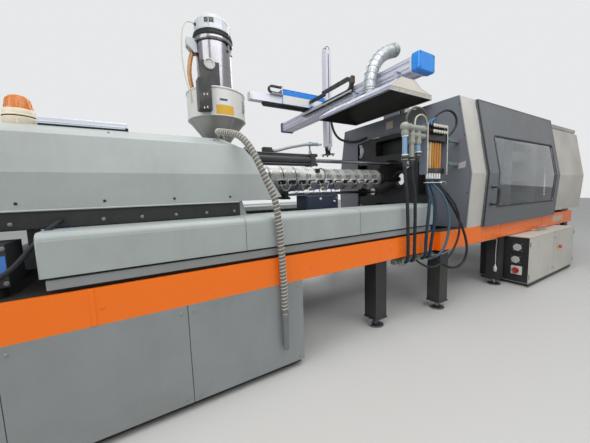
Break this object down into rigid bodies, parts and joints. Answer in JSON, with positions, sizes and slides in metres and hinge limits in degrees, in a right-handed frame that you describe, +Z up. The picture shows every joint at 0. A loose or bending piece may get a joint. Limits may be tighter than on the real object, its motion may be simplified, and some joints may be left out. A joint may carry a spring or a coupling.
{
  "type": "injection moulding machine",
  "caption": "Large horizontal injection moulding machine with sliding guard doors, hopper loader, flow regulator, fume hood and take-out robot.",
  "frame": {"origin": "middle of the base on the floor", "axes": "+X along the injection axis from the injection end to the clamp end, +Z up, operator's side towards -Y"},
  "size_m": [9.36, 4.444, 4.463],
  "materials": {
    "bed_black": "satin black paint on welded steel",
    "foot_steel": "plain steel",
    "panel_grey": "satin mid grey powder coat",
    "rail_orange": "satin orange powder coat",
    "ledge_grey": "satin light grey powder coat",
    "ground_steel": "ground steel",
    "pump_black": "dark painted castings",
    "casting_grey": "painted iron casting",
    "bar_chrome": "hard chrome plated steel",
    "portal_slate": "satin slate powder coat",
    "hoop_grey": "satin light grey powder coat",
    "cover_grey": "satin warm light grey powder coat",
    "track_steel": "zinc plated rail",
    "door_slate": "satin dark slate powder coat",
    "window_pane": "clear polycarbonate",
    "handle_black": "black moulded handle",
    "cabinet_grey": "satin warm grey powder coat",
    "fitting_grey": "moulded plastic and plated steel",
    "knob_red": "red moulded plastic",
    "stop_red": "red moulded plastic",
    "barrel_steel": "nitrided steel",
    "jacket_silver": "insulated aluminium jackets",
    "drive_dark": "dark painted steel",
    "hood_grey": "satin light grey powder coat",
    "beacon_cream": "cream base under an orange dome",
    "hopper_grey": "light grey painted sheet steel",
    "vessel_chrome": "polished stainless steel",
    "head_grey": "light grey moulded head",
    "box_black": "black moulded housings",
    "hose_grey": "grey spiral hose",
    "lance_steel": "stainless tube",
    "terminal_navy": "dark blue painted box",
    "fume_grey": "folded sheet steel",
    "duct_galvanised": "galvanised sheet steel",
    "frame_slate": "blue grey painted frame",
    "valve_grey": "moulded valves and fittings",
    "tube_amber": "amber flow tubes",
    "pipe_grey": "grey pipe fittings",
    "hose_black": "black rubber hose",
    "cable_white": "white cable",
    "plug_white": "white moulded plug",
    "robot_paint": "grey painted steel",
    "beam_aluminium": "anodised aluminium section",
    "robot_blue": "blue covers",
    "gripper_dark": "black anodised aluminium",
    "chain_black": "black moulded chain links"
  },
  "bodies": {
    "root": {"bed_frame": "bed_black", "bed_base": "bed_black", "levelling_feet": "foot_steel", "side_panels": "panel_grey", "side_rails": "rail_orange", "ledge_covers": "ledge_grey", "guide_ways": "ground_steel", "power_pack": "pump_black", "fixed_platen": "casting_grey", "tie_bars": "bar_chrome", "tie_bar_nuts": "foot_steel", "end_platen": "casting_grey", "guard_portal": "portal_slate", "guard_hoop": "hoop_grey", "end_cover": "cover_grey", "door_rails": "track_steel", "power_cabinet": "cabinet_grey", "cabinet_fittings": "fitting_grey", "carriage_rods": "bar_chrome", "terminal_box": "terminal_navy", "fume_hood": "fume_grey", "fume_duct": "duct_galvanised", "manifold_frame": "frame_slate", "manifold_valves": "valve_grey", "flow_tubes": "tube_amber", "supply_pipes": "pipe_grey", "manifold_hoses": "hose_black", "sensor_cable": "cable_white", "sensor_plug": "plug_white", "robot_riser": "robot_paint", "robot_beam": "beam_aluminium", "cable_chain": "chain_black"},
    "front_door": {"front_door": "door_slate", "front_window": "window_pane", "front_handle": "handle_black"},
    "rear_door": {"rear_door": "door_slate", "rear_window": "window_pane"},
    "moving_platen": {"moving_platen": "casting_grey", "clamp_ram": "bar_chrome"},
    "ejector": {"ejector_plate": "ground_steel"},
    "carriage": {"injection_carriage": "casting_grey", "barrel": "barrel_steel", "heater_covers": "jacket_silver", "carriage_cylinders": "drive_dark", "injection_hood": "hood_grey", "beacon": "beacon_cream", "hopper": "hopper_grey", "loader_vessel": "vessel_chrome", "loader_head": "head_grey", "loader_box": "box_black", "suction_hose": "hose_grey", "suction_lance": "lance_steel"},
    "screw_drive": {"screw_drive": "drive_dark"},
    "screw": {"screw": "bar_chrome"},
    "robot_carriage": {"robot_carriage": "robot_blue"},
    "kick_beam": {"kick_beam": "beam_aluminium"},
    "robot_arm": {"robot_arm": "beam_aluminium"},
    "gripper": {"gripper": "gripper_dark"},
    "isolator_knob": {"isolator_knob": "knob_red"},
    "estop_button": {"estop_button": "stop_red"}
  },
  "joints": [
    {"name": "front_door_slide", "type": "slide", "parent": "root", "child": "front_door", "axis": [1, 0, 0], "range_m": [0, 1.45]},
    {"name": "rear_door_slide", "type": "slide", "parent": "root", "child": "rear_door", "axis": [1, 0, 0], "range_m": [0, 1.45]},
    {"name": "platen_slide", "type": "slide", "parent": "root", "child": "moving_platen", "axis": [1, 0, 0], "range_m": [-0.8, 0]},
    {"name": "ejector_slide", "type": "slide", "parent": "moving_platen", "child": "ejector", "axis": [1, 0, 0], "range_m": [-0.14, 0]},
    {"name": "carriage_slide", "type": "slide", "parent": "root", "child": "carriage", "axis": [1, 0, 0], "range_m": [-0.45, 0]},
    {"name": "injection_slide", "type": "slide", "parent": "carriage", "child": "screw_drive", "axis": [1, 0, 0], "range_m": [-0.32, 0]},
    {"name": "screw_spin", "type": "hinge", "parent": "screw_drive", "child": "screw", "pos_m": [-2.328, -0.78, 1.64], "axis": [1, 0, 0], "continuous": true},
    {"name": "traverse_slide", "type": "slide", "parent": "root", "child": "robot_carriage", "axis": [0, 1, 0], "range_m": [-0.45, 0.85]},
    {"name": "kick_slide", "type": "slide", "parent": "robot_carriage", "child": "kick_beam", "axis": [1, 0, 0], "range_m": [0, 1]},
    {"name": "arm_slide", "type": "slide", "parent": "kick_beam", "child": "robot_arm", "axis": [0, 0, 1], "range_m": [-1.1, 0.3]},
    {"name": "wrist_turn", "type": "hinge", "parent": "robot_arm", "child": "gripper", "pos_m": [0.61, 1.12, 2.415], "axis": [0, 1, 0], "range_deg": [0, 90]},
    {"name": "isolator_turn", "type": "hinge", "parent": "root", "child": "isolator_knob", "pos_m": [1.596, -2.042, 0.232], "axis": [1, 0, 0], "range_deg": [0, 90]},
    {"name": "estop_press", "type": "slide", "parent": "root", "child": "estop_button", "axis": [0, 1, 0], "range_m": [0, 0.0045], "stiffness_N_per_m": 400}
  ]
}
